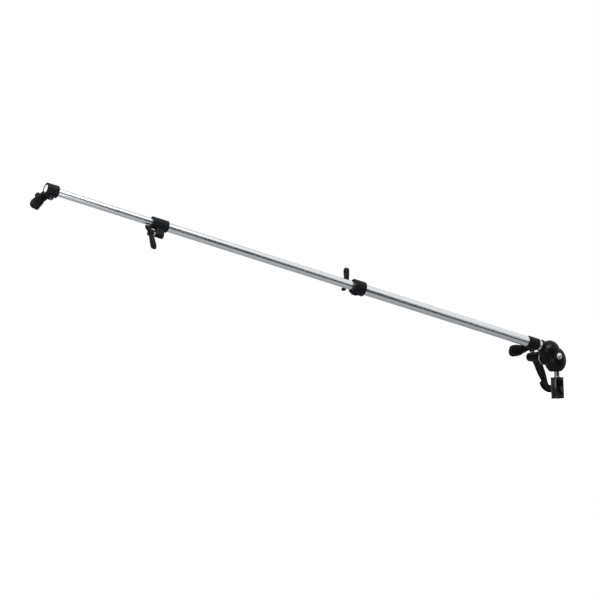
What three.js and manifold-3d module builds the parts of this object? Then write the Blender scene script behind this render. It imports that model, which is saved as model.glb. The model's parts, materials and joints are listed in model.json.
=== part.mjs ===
// Telescopic holder arm, in millimetres, +Z up.
// The origin is the middle of the socket's mouth, where the arm drops onto a 16 mm stud.
// The arm rises to the left from a ball head. Three tubes slide in each other, a cam collar holds
// each slide, and a clip with two paddle jaws grips a rim near each end.
import * as THREE from 'three';
import { mergeVertices } from 'three/addons/utils/BufferGeometryUtils.js';
import Module from 'manifold-3d';

const wasm = await Module();
wasm.setup();

// Socket and ball stem
const socketRadius = 13.9;
const socketLength = 45.5;
const socketEdge = 0.9;
const studRadius = 7.94;
const studClearance = 0.16;
const socketFloor = 6.5;
const stemTailRadius = 4;
const stemShoulderRadius = 6.6;
const stemShoulderHeight = 2.6;
const neckRadius = 5.6;
const ballRadius = 10;
const ballHeight = 81.3;
const grubRadius = 2.5;
const grubLength = 3.4;
const hexKeyRadius = 1.3;
const hexKeyDepth = 1.6;
const socketGrubHeight = 18;

// Clearances
const seatGap = 0.3;
const slideGap = 0.25;
const holeGap = 0.2;
const overrun = 2;

// Ball head casting
const ballSeatWall = 2;
const upperSeatTopAngle = 14;
const upperSeatEdgeAngle = 70;
const lowerSeatTopAngle = 96;
const lowerSeatEdgeAngle = 118;
const mouthAngle = 135;
const mouthRadius = 10.4;
const lobeRadius = 23.5;
const lobeCrown = 30;
const lobeShift = 2.4;
const lobeDepth = 27;
const lobeFootRadius = 12;
const domeRadius = 22.3;
const domeReach = 16.2;
const domeAboveBall = 21.9;
const shellKerf = 0.4;
const capBossRadius = 8.8;
const capBossFace = 18.8;
const rearDiscRadius = 17.8;
const rearFace = 20.5;
const rearDiscDepth = 8;
const bridgeRadius = 14;
const dowelRadius = 1.5;
const dowelLength = 9;
const dowelOffset = 17.3;

// Clamp bolt, washer and lever, measured along the bolt from the middle of the head
const boltTurn = 20;
const boltOffset = 14.5;
const boltAboveBall = 9.6;
const boltRadius = 2.5;
const boltTailReach = 56;
const capRadius = 7.1;
const capHeight = 5.6;
const capEdgeShare = 0.45;
const washerRadius = 17.8;
const washerThickness = 2.2;
const hubRootRadius = 12.3;
const hubTipRadius = 9.6;
const hubLength = 39;
const hubRootShare = 0.1;
const insertRadius = 6;
const insertLength = 19;
const buttonHeight = 5.2;
const buttonRadius = 9.3;
const leverCentre = 47.5;
const leverThickness = 10;
const leverEdge = 1;
const leverDrop = 78;

// Arm tubes, measured along the arm from where its axis crosses the socket's axis
const armRise = 17.67;
const armAboveBall = 21.7;
const tubeWall = 1.2;
const outerRadius = 11;
const middleRadius = 9.5;
const innerRadius = 8;
const outerStart = 16;
const outerLength = 479;
const middleOverlap = 45;
const middleLength = 522.5;
const innerOverlap = 232.5;
const innerLength = 499.5;
const glideHeadLength = 11;
const glideTailLength = 12;
const endPlugFlange = 2.4;
const tubeBossRadius = 12.6;
const tubeBossEnd = 41;
const tubeGrubPlace = 27;
const tubeGrubTurn = 55;

// Cam collars, measured from each collar's end nearest the head
const outerCollarRadius = 15.6;
const outerCollarSeat = 10.5;
const outerCollarGrip = 17.5;
const outerBossInset = 7;
const outerWingInset = 1;
const outerCollarTurn = 56;
const outerLeverTurn = -56;
const outerLeverShortLobe = 20;
const middleCollarRadius = 12.6;
const middleCollarSeat = 14;
const middleCollarGrip = 24;
const middleBossInset = 12;
const middleWingInset = 5;
const middleCollarTurn = 180;
const middleLeverTurn = 0;
const outerLongLean = 0.1;
const outerShortLean = 0.35;
const middleLongLean = -0.34;
const middleShortLean = 0.75;
const middleLeverShortLobe = 13.5;
const collarLipDepth = 0.8;
const collarSlope = 24;
const camOffset = 23.6;
const camRadius = 3.6;
const camThrow = 1.1;
const camJournalLength = 3;
const camBossRadius = 6.4;
const camBossLength = 18;
const shoeRadius = 4.3;
const shoeMargin = 1;
const wingThickness = 7.6;
const wingHubRadius = 7.4;
const wingHubProud = 0.9;
const longLobe = 34;
const longLobeWidth = 14;
const shortLobeWidth = 11;
const lobeNeckShare = 0.62;
const heelLugLength = 11;
const heelLugHeight = 4;
const heelLugWidth = 9;
const heelLugTurn = 105;
const heelLugPlace = 19;

// Rim clips, measured from the tube's axis towards the rim that they grip
const rimTurn = 19.2;
const clipCollarRadius = 13;
const clipCollarLength = 27;
const rightClipStart = 47;
const leftClipInset = 24.7;
const clipBossRadius = 7.5;
const clipBossEnd = 22;
const clipEarHeight = 20;
const clipEarWidth = 9;
const clipEarLength = 9;
const studBoltRadius = 3;
const studBoltDepth = 9;
const studBoltTail = 2;
const jawHubRadius = 9.6;
const jawStandoff = 8.4;
const jawThickness = 7;
const jawReach = 38.5;
const jawWidth = 23;
const backJawReach = 27;
const backJawWidth = 19;
const jawNeckShare = 0.68;
const jawEdge = 2;
const padThickness = 1.5;
const padMargin = 2.6;
const rimSpace = 8;
const knobHubRadius = 8;
const knobHubLength = 9.6;
const knobLobe = 19;
const knobLobeWidth = 11.5;
const knobLobeThickness = 6.4;
const knobInsertRadius = 5;
const knobInsertLength = 6.4;
const rightJawTurn = 26;
const leftJawTurn = 53;
const rightKnobTurn = 0;
const leftKnobTurn = 37;

// Facets
const roundSides = 30;
const smallSides = 12;
const arcSteps = 6;
const seatSteps = 4;
const weldTolerance = 1e-4;

// Values that follow from the sizes above
const degrees = THREE.MathUtils.degToRad;
const socketBoreRadius = studRadius + studClearance;
const socketBoreDepth = socketLength - socketFloor;
const stemBase = socketLength + seatGap;
const seatInner = ballRadius + slideGap;
const seatOuter = seatInner + ballSeatWall;
const cavityRadius = seatOuter + slideGap;
const lobeFootAngle = Math.asin(lobeFootRadius / lobeRadius);
const lobeBottom = ballHeight - lobeDepth * Math.cos(lobeFootAngle);
const domeHeight = ballHeight + domeAboveBall;
const boltHeight = ballHeight + boltAboveBall;
const armHeight = ballHeight + armAboveBall;
const boltHole = boltRadius + seatGap;
const washerFront = -rearFace - seatGap;
const washerBack = washerFront - washerThickness;
const hubFace = washerBack - seatGap;
const hubEnd = hubFace - hubLength;
const outerEnd = outerStart + outerLength;
const middleStart = outerEnd - middleOverlap;
const middleEnd = middleStart + middleLength;
const innerStart = middleEnd - innerOverlap;
const innerEnd = innerStart + innerLength;
const leftClipStart = innerEnd - leftClipInset;
const rise = degrees(armRise);
const armAxis = new THREE.Vector3(-Math.cos(rise), 0, Math.sin(rise));
const armFront = new THREE.Vector3(0, -1, 0);
const armUp = new THREE.Vector3(Math.sin(rise), 0, Math.cos(rise));
const jawFront = -clipBossEnd - seatGap - jawStandoff;
const jawInner = jawFront - jawThickness;
const frontPadFace = jawInner - seatGap - padThickness;
const backPadFace = frontPadFace - rimSpace;
const backJawFace = backPadFace - padThickness - seatGap;
const backJawEnd = backJawFace - jawThickness;
const knobStart = backJawEnd - seatGap;
const knobEnd = knobStart - knobHubLength;

// Materials, one for each real finish
const finishes = {
  castBlack: { color: 0x17181b, roughness: 0.42, metalness: 0.25 },
  nylonBlack: { color: 0x1b1c1f, roughness: 0.55, metalness: 0 },
  socketBlack: { color: 0x0f1113, roughness: 0.16, metalness: 0.85 },
  steelBright: { color: 0xc9ccd0, roughness: 0.22, metalness: 1 },
  tubeSilver: { color: 0xd3d7db, roughness: 0.3, metalness: 1 },
  rubberBlack: { color: 0x141414, roughness: 0.85, metalness: 0 },
  seatWhite: { color: 0xe8e6df, roughness: 0.5, metalness: 0 },
  brass: { color: 0xc8a45a, roughness: 0.35, metalness: 1 },
};

// Solids and booleans
function solid(geometry, place) {
  const bare = geometry.clone();
  for (const name of Object.keys(bare.attributes)) {
    if (name !== 'position') {
      bare.deleteAttribute(name);
    }
  }
  if (place) {
    bare.applyMatrix4(place);
  }
  const merged = mergeVertices(bare, weldTolerance);
  const points = merged.attributes.position.array;
  const faces = [];
  let volume = 0;
  for (let i = 0; i < merged.index.count; i += 3) {
    const [a, b, c] = merged.index.array.slice(i, i + 3);
    if (a !== b && b !== c && c !== a) {
      faces.push([a, b, c]);
      const [p, q, r] = [a, b, c].map((k) => new THREE.Vector3().fromArray(points, 3 * k));
      volume += p.dot(q.cross(r));
    }
  }
  const outward = volume > 0 ? faces : faces.map(([a, b, c]) => [a, c, b]);
  return new wasm.Manifold(new wasm.Mesh({
    numProp: 3,
    vertProperties: new Float32Array(points),
    triVerts: new Uint32Array(outward.flat()),
  }));
}

function join(first, ...others) {
  return others.reduce((whole, next) => whole.add(next), first);
}

function cut(first, ...tools) {
  return tools.reduce((whole, tool) => whole.subtract(tool), first);
}

function meshFrom(name, manifold, finish) {
  const result = manifold.getMesh();
  const geometry = new THREE.BufferGeometry();
  geometry.setAttribute('position', new THREE.BufferAttribute(new Float32Array(result.vertProperties), 3));
  geometry.setIndex(new THREE.BufferAttribute(new Uint32Array(result.triVerts), 1));
  geometry.computeVertexNormals();
  const mesh = new THREE.Mesh(geometry, new THREE.MeshStandardMaterial(finishes[finish]));
  mesh.name = name;
  return mesh;
}

// Placing
const toX = new THREE.Matrix4().makeRotationY(Math.PI / 2);
const toY = new THREE.Matrix4().makeRotationX(-Math.PI / 2);
const shift = (x, y, z) => new THREE.Matrix4().makeTranslation(x, y, z);
const chain = (...matrices) => matrices.reduce((all, next) => all.multiply(next), new THREE.Matrix4());
const turnZ = (angle) => new THREE.Matrix4().makeRotationZ(degrees(angle));

const boltAcross = new THREE.Vector3(Math.cos(degrees(boltTurn)), Math.sin(degrees(boltTurn)), 0);
const boltAlong = new THREE.Vector3(Math.sin(degrees(boltTurn)), -Math.cos(degrees(boltTurn)), 0);
const boltPlace = chain(
  shift(-boltOffset * boltAcross.x, -boltOffset * boltAcross.y, boltHeight),
  new THREE.Matrix4().makeBasis(boltAcross, new THREE.Vector3(0, 0, 1), boltAlong),
);
const armPlace = chain(
  shift(0, 0, armHeight),
  new THREE.Matrix4().makeBasis(armAxis, armFront, armUp),
);
const tubeGrubMatrix = chain(
  armPlace,
  shift(tubeGrubPlace, 0, 0),
  new THREE.Matrix4().makeRotationX(degrees(tubeGrubTurn)),
);

function placedGroup(matrix) {
  const holder = new THREE.Group();
  holder.applyMatrix4(matrix);
  return holder;
}

// Shapes turned about Z from a profile of [radius, height] points
function turned(profile, place, sides = roundSides) {
  const points = profile.map(([r, z]) => new THREE.Vector2(r, z));
  const lathe = new THREE.LatheGeometry(points, sides);
  lathe.rotateX(Math.PI / 2);
  return solid(lathe, place);
}

function rod(radius, from, to, place, sides = smallSides) {
  return turned([[0, from], [radius, from], [radius, to], [0, to]], place, sides);
}

function sleeve(inner, outer, from, to, place, sides = roundSides) {
  return turned([[inner, from], [outer, from], [outer, to], [inner, to], [inner, from]], place, sides);
}

// Points of a circle arc about (0, height), at angles measured down from +Z
function arc(radius, height, from, to, steps = arcSteps) {
  return Array.from({ length: steps + 1 }, (_, i) => {
    const angle = degrees(from + ((to - from) * i) / steps);
    return [radius * Math.sin(angle), height + radius * Math.cos(angle)];
  });
}

// An outline pushed along Z, with its rims broken by a small edge
function plate(shape, from, to, place, edge = 0) {
  const geometry = new THREE.ExtrudeGeometry(shape, {
    depth: to - from - 2 * edge,
    bevelEnabled: edge > 0,
    bevelThickness: edge,
    bevelSize: edge,
    bevelOffset: -edge,
    bevelSegments: 1,
    curveSegments: arcSteps,
  });
  geometry.translate(0, 0, from + edge);
  return solid(geometry, place);
}

// A round-ended paddle along +X: waisted at a share of its width near the hub, full beyond
function lobeShape(reach, width, neckShare) {
  const half = width / 2;
  const neck = half * neckShare;
  const full = reach - half;
  const shape = new THREE.Shape();
  shape.moveTo(0, -neck);
  shape.bezierCurveTo(full / 3, -neck, full / 2, -half, full, -half);
  shape.absarc(full, 0, half, -Math.PI / 2, Math.PI / 2, false);
  shape.bezierCurveTo(full / 2, half, full / 3, neck, 0, neck);
  shape.closePath();
  return shape;
}

function block(size, centre, place) {
  const box = new THREE.BoxGeometry(...size);
  box.translate(...centre);
  return solid(box, place);
}

// What slopes a collar's end nearest the head back from its top, or from its bottom if side is -1
function slopeCut(radius, side) {
  const span = 4 * radius;
  const tilt = new THREE.Matrix4().makeRotationY(degrees(side * collarSlope));
  const place = chain(shift(0, 0, side * radius), tilt);
  return block([span, span, 2 * span], [-span / 2, 0, 0], place);
}

// A socket grub screw along +Z, with its key hole in the outer end
function grubScrew(from, to, place) {
  const screw = rod(grubRadius, from, to, place);
  return cut(screw, rod(hexKeyRadius, to - hexKeyDepth, to + overrun, place, 6));
}

// The socket
function studSocket(group) {
  const body = cut(
    turned([
      [0, 0],
      [socketRadius - socketEdge, 0],
      [socketRadius, socketEdge],
      [socketRadius, socketLength - socketEdge],
      [socketRadius - socketEdge, socketLength],
      [0, socketLength],
    ]),
    rod(socketBoreRadius, -overrun, socketBoreDepth, undefined, roundSides),
    rod(stemTailRadius + holeGap, socketBoreDepth - overrun, socketLength + overrun, undefined, roundSides),
    rod(grubRadius + holeGap, 0, socketRadius + overrun, chain(shift(0, 0, socketGrubHeight), toY)),
  );
  group.add(meshFrom('socket_sleeve', body, 'socketBlack'));

  const grubTip = socketRadius - seatGap;
  const grub = grubScrew(grubTip - grubLength, grubTip, chain(shift(0, 0, socketGrubHeight), toY));
  group.add(meshFrom('socket_grub_screw', grub, 'steelBright'));

  const neckMeets = Math.asin(neckRadius / ballRadius);
  const stem = turned([
    [0, socketBoreDepth + holeGap],
    [stemTailRadius, socketBoreDepth + holeGap],
    [stemTailRadius, stemBase],
    [stemShoulderRadius, stemBase],
    [stemShoulderRadius, stemBase + stemShoulderHeight / 3],
    [neckRadius, stemBase + stemShoulderHeight],
    ...arc(ballRadius, ballHeight, 180 - THREE.MathUtils.radToDeg(neckMeets), 0),
  ]);
  group.add(meshFrom('ball_stem', stem, 'steelBright'));
}

// Two nylon seats between the ball and the casting
function ballSeat(from, to) {
  return turned([
    ...arc(seatInner, ballHeight, from, to, seatSteps),
    ...arc(seatOuter, ballHeight, to, from, seatSteps),
    arc(seatInner, ballHeight, from, to, seatSteps)[0],
  ]);
}

function headCasting() {
  const footAngle = 180 - THREE.MathUtils.radToDeg(lobeFootAngle);
  const oval = (from, to, height) =>
    arc(1, 0, from, to).map(([r, z]) => [r * lobeRadius, ballHeight + z * height]);
  const lobe = turned(
    [[0, lobeBottom], ...oval(footAngle, 90, lobeDepth), ...oval(90, 0, lobeCrown)],
    shift(-lobeShift, 0, 0),
  );
  const ball = new THREE.SphereGeometry(domeRadius, roundSides, smallSides);
  const dome = solid(ball, shift(-domeReach, 0, domeHeight));
  const boss = rod(tubeBossRadius, 0, tubeBossEnd, chain(armPlace, toX), roundSides);
  const rearDisc = turned(
    [
      [0, -rearFace],
      [rearDiscRadius, -rearFace],
      [rearDiscRadius, rearDiscDepth / 2 - rearFace],
      [bridgeRadius, rearDiscDepth + rearDiscDepth / 2 - rearFace],
      [bridgeRadius, 0],
      [capBossRadius, capBossFace - rearDiscDepth],
      [capBossRadius, capBossFace],
      [0, capBossFace],
    ],
    boltPlace,
  );
  const boreStart = outerStart - seatGap;
  return cut(
    join(lobe, dome, boss, rearDisc),
    turned([
      [0, lobeBottom - overrun],
      [mouthRadius, lobeBottom - overrun],
      [mouthRadius, lobeBottom],
      ...arc(cavityRadius, ballHeight, mouthAngle, 0, 2 * arcSteps),
    ]),
    rod(outerRadius + slideGap, boreStart, tubeBossEnd + domeRadius, chain(armPlace, toX), roundSides),
    rod(boltHole, -rearFace - overrun, capBossFace + overrun, boltPlace),
    rod(rearDiscRadius + overrun / 2, -2 * rearFace, -rearFace, boltPlace, roundSides),
    rod(grubRadius + holeGap, 0, tubeBossRadius + domeRadius, tubeGrubMatrix),
    rod(capBossRadius, capBossFace, capBossFace + capHeight + overrun, boltPlace, roundSides),
  );
}

function ballHead(group) {
  group.add(meshFrom('upper_ball_seat', ballSeat(upperSeatTopAngle, upperSeatEdgeAngle), 'seatWhite'));
  group.add(meshFrom('lower_ball_seat', ballSeat(lowerSeatTopAngle, lowerSeatEdgeAngle), 'seatWhite'));

  const casting = headCasting();
  const dowelPlaces = [-1, 1].map((side) =>
    chain(boltPlace, shift(boltOffset + side * dowelOffset, -boltAboveBall, 0)));
  const dowelHoles = dowelPlaces.map((place) =>
    rod(dowelRadius + holeGap, -dowelLength / 2 - seatGap, dowelLength / 2 + seatGap, place));
  const drilled = cut(casting, ...dowelHoles);
  const span = 4 * domeRadius;
  const halfSpace = (side) => {
    const middle = side * (span + shellKerf) / 2;
    return block([2 * span, 2 * span, span], [0, 0, middle], boltPlace);
  };
  group.add(meshFrom('head_front_shell', drilled.intersect(halfSpace(1)), 'castBlack'));
  group.add(meshFrom('head_rear_shell', drilled.intersect(halfSpace(-1)), 'castBlack'));
  dowelPlaces.forEach((place, i) => {
    const dowel = rod(dowelRadius, -dowelLength / 2, dowelLength / 2, place, smallSides / 2);
    group.add(meshFrom(`shell_dowel_${i + 1}`, dowel, 'steelBright'));
  });

  const wallFace = tubeBossRadius + seatGap;
  const grub = grubScrew(outerRadius + slideGap, wallFace + grubLength / 2, tubeGrubMatrix);
  group.add(meshFrom('tube_grub_screw', grub, 'steelBright'));
}

// The clamp bolt, its cap nut and washer, and the lever that tightens it
function clamp(group) {
  const holder = placedGroup(boltPlace);
  group.add(holder);
  const capFace = capBossFace + seatGap;
  const boltTip = capFace + capHeight / 2;
  holder.add(meshFrom('clamp_bolt', rod(boltRadius, -boltTailReach, boltTip), 'steelBright'));

  const capRim = capHeight * capEdgeShare;
  const dome = Array.from({ length: arcSteps }, (_, i) => {
    const angle = (Math.PI / 2) * (i / arcSteps);
    return [capRadius * Math.cos(angle), capFace + capRim + (capHeight - capRim) * Math.sin(angle)];
  });
  const cap = cut(
    turned([[0, capFace], [capRadius, capFace], ...dome, [0, capFace + capHeight]]),
    rod(boltRadius + holeGap, capFace - overrun, boltTip + holeGap),
  );
  holder.add(meshFrom('bolt_cap_nut', cap, 'steelBright'));
  const washer = sleeve(boltHole, washerRadius, washerBack, washerFront);
  holder.add(meshFrom('thrust_washer', washer, 'steelBright'));

  const insertEnd = hubFace - insertLength;
  const insert = sleeve(boltRadius + holeGap, insertRadius, insertEnd, hubFace);
  holder.add(meshFrom('lever_insert', insert, 'brass'));

  const hub = turned([
    [0, hubFace],
    [hubRootRadius, hubFace],
    [hubRootRadius, hubFace - hubLength * hubRootShare],
    [hubTipRadius, hubEnd],
    [0, hubEnd],
  ]);
  const half = leverThickness / 2;
  const arm = plate(leverShape(), -leverCentre - half, half - leverCentre, undefined, leverEdge);
  const lever = cut(
    join(hub, arm),
    rod(insertRadius + holeGap, insertEnd - seatGap, hubFace + overrun, undefined, roundSides),
    rod(boltHole, -boltTailReach - seatGap, hubFace + overrun),
  );
  holder.add(meshFrom('clamp_lever', lever, 'castBlack'));

  const buttonFace = hubEnd - seatGap;
  const crown = Array.from({ length: arcSteps }, (_, i) => {
    const angle = (Math.PI / 2) * (i / arcSteps);
    return [buttonRadius * Math.cos(angle), buttonFace - buttonHeight * Math.sin(angle)];
  });
  const button = turned([[0, buttonFace], ...crown, [0, buttonFace - buttonHeight]]);
  holder.add(meshFrom('lever_button', button, 'castBlack'));
}

// The lever's outline from the bolt down, in shares of how far it hangs: a tapered blade that
// swells into a heel and a long toe for the palm
const bladeLeftShares = [[-0.128, -0.01], [0.01, -0.22], [0.115, -0.42], [0.236, -0.6], [0.285, -0.66]];
const heelShares = [[0.262, -0.69], [0.205, -0.715]];
const soleShares = [[0.255, -0.81], [0.305, -0.872], [0.405, -0.942], [0.563, -1], [0.675, -0.997]];
const toeShares = [[0.714, -0.939], [0.688, -0.862], [0.61, -0.803], [0.53, -0.795]];
const backOfBladeShares = [[0.482, -0.765], [0.456, -0.71], [0.436, -0.64], [0.362, -0.42]];
const bladeTopShares = [[0.23, -0.14], [0.135, 0.03]];
const leverTopShares = [[0.08, 0.105], [-0.02, 0.125], [-0.1, 0.08]];

function leverShape() {
  const footShares = [...heelShares, ...soleShares, ...toeShares];
  const topShares = [...bladeTopShares, ...leverTopShares];
  const shares = [...bladeLeftShares, ...footShares, ...backOfBladeShares, ...topShares];
  const points = shares.map(([x, y]) => new THREE.Vector2(x * leverDrop, y * leverDrop));
  const smooth = new THREE.SplineCurve([...points, points[0]]).getPoints(2 * points.length);
  return new THREE.Shape(smooth.slice(0, -1));
}

// Tubes and the glides that keep them in line, along +X
function armTube(name, radius, start, length) {
  const mesh = meshFrom(name, sleeve(radius - tubeWall, radius, 0, length, toX), 'tubeSilver');
  mesh.position.x = start;
  return mesh;
}

function glide(name, tubeRadius, outerTubeRadius, start) {
  const headRadius = outerTubeRadius - tubeWall - slideGap;
  const tailRadius = tubeRadius - tubeWall - slideGap;
  const profile = [
    [0, -glideHeadLength],
    [headRadius, -glideHeadLength],
    [headRadius, -seatGap],
    [tailRadius, -seatGap],
    [tailRadius, glideTailLength],
    [0, glideTailLength],
  ];
  const mesh = meshFrom(name, turned(profile, toX), 'seatWhite');
  mesh.position.x = start;
  return mesh;
}

function endPlug(name, tubeRadius, end) {
  const tailRadius = tubeRadius - tubeWall - slideGap;
  const profile = [
    [0, -glideTailLength],
    [tailRadius, -glideTailLength],
    [tailRadius, seatGap],
    [tubeRadius, seatGap],
    [tubeRadius, endPlugFlange - seatGap],
    [tubeRadius - seatGap, endPlugFlange],
    [0, endPlugFlange],
  ];
  const mesh = meshFrom(name, turned(profile, toX), 'seatWhite');
  mesh.position.x = end;
  return mesh;
}

// A cam collar: seated on the larger tube's end, its shoe pressed on the smaller tube by a cam
function camCollar(group, names, sizes) {
  const length = sizes.seat + sizes.grip;
  const turn = new THREE.Matrix4().makeRotationX(degrees(sizes.turn + rimTurn));
  const holder = placedGroup(chain(shift(sizes.start, 0, 0), turn));
  group.add(holder);
  const bossEnd = length - sizes.bossInset;
  const bossStart = bossEnd - camBossLength;
  const bossShape = new THREE.Shape();
  bossShape.moveTo(-camBossRadius, 0);
  bossShape.lineTo(camBossRadius, 0);
  bossShape.lineTo(camBossRadius, camOffset);
  bossShape.absarc(0, camOffset, camBossRadius, 0, Math.PI, false);
  bossShape.closePath();
  // The boss outline lies across the arm: its X goes to the arm's front and its Y outwards
  const across = new THREE.Matrix4().makeBasis(
    new THREE.Vector3(0, 1, 0),
    new THREE.Vector3(0, 0, 1),
    new THREE.Vector3(1, 0, 0),
  );
  const camPlace = chain(shift(0, 0, camOffset), toX);
  const shoeMiddle = sizes.seat + shoeMargin + shoeRadius;
  const shoePlace = shift(shoeMiddle, 0, 0);
  let body = join(
    turned([
      [0, 0],
      [sizes.radius - collarLipDepth, 0],
      [sizes.radius, collarLipDepth],
      [sizes.radius, length - collarLipDepth],
      [sizes.radius - collarLipDepth, length],
      [0, length],
    ], toX),
    plate(bossShape, bossStart, bossEnd, across, collarLipDepth),
  );
  if (sizes.heelLug) {
    const place = new THREE.Matrix4().makeRotationX(degrees(heelLugTurn));
    const lugSize = [heelLugLength, heelLugWidth, heelLugHeight];
    body = join(body, block(lugSize, [heelLugPlace, 0, sizes.radius], place));
  }
  if (sizes.slopedEnd) {
    body = cut(body, slopeCut(sizes.radius, -1));
  }
  body = cut(
    body,
    rod(sizes.bigRadius + slideGap, -overrun, sizes.seat + seatGap, toX, roundSides),
    rod(sizes.smallRadius + slideGap, 0, length + overrun, toX, roundSides),
    rod(camRadius + holeGap, bossStart + camJournalLength, bossEnd + overrun, camPlace),
    rod(shoeRadius + holeGap, 0, camOffset, shoePlace),
  );
  holder.add(meshFrom(names.collar, body, 'nylonBlack'));

  const shoe = cut(
    rod(shoeRadius, 0, camOffset - camRadius - seatGap, shoePlace),
    rod(sizes.smallRadius + slideGap, -overrun, length, toX, roundSides),
  );
  holder.add(meshFrom(names.shoe, shoe, 'seatWhite'));

  const wingStart = length - sizes.wingInset;
  const camFrom = shoeMiddle - shoeRadius;
  const camTo = shoeMiddle + shoeRadius;
  const shaftStart = bossStart + camJournalLength + seatGap;
  const leverTurned = new THREE.Matrix4().makeRotationX(degrees(sizes.leverTurn));
  const leverHolder = placedGroup(chain(shift(0, 0, camOffset), leverTurned));
  holder.add(leverHolder);
  const throwPlace = chain(shift(0, 0, -camThrow), toX);
  const cam = rod(camRadius - camThrow, camFrom - seatGap, camTo + seatGap, throwPlace);
  const shaft = join(
    rod(camRadius, shaftStart, camFrom, toX),
    cam,
    rod(camRadius, camTo, wingStart + wingThickness / 2, toX),
  );
  leverHolder.add(meshFrom(names.shaft, shaft, 'steelBright'));

  // The lobes lie across the arm, each leaning along it by its own amount
  const lobePlace = (outwards, lean) => new THREE.Matrix4().makeBasis(
    new THREE.Vector3(lean, 0, outwards), new THREE.Vector3(0, -outwards, 0), new THREE.Vector3(1, 0, 0));
  const wingEnd = wingStart + wingThickness;
  const wing = cut(
    join(
      rod(wingHubRadius, wingStart - wingHubProud, wingEnd + wingHubProud, toX, roundSides),
      plate(
        lobeShape(longLobe, longLobeWidth, lobeNeckShare),
        wingStart,
        wingEnd,
        lobePlace(1, sizes.longLean),
        wingHubProud,
      ),
      plate(
        lobeShape(sizes.shortLobe, shortLobeWidth, lobeNeckShare),
        wingStart,
        wingEnd,
        lobePlace(-1, sizes.shortLean),
        wingHubProud,
      ),
    ),
    rod(camRadius + holeGap, wingStart - overrun, wingStart + wingThickness / 2 + holeGap, toX),
  );
  leverHolder.add(meshFrom(names.lever, wing, 'nylonBlack'));
}

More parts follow.
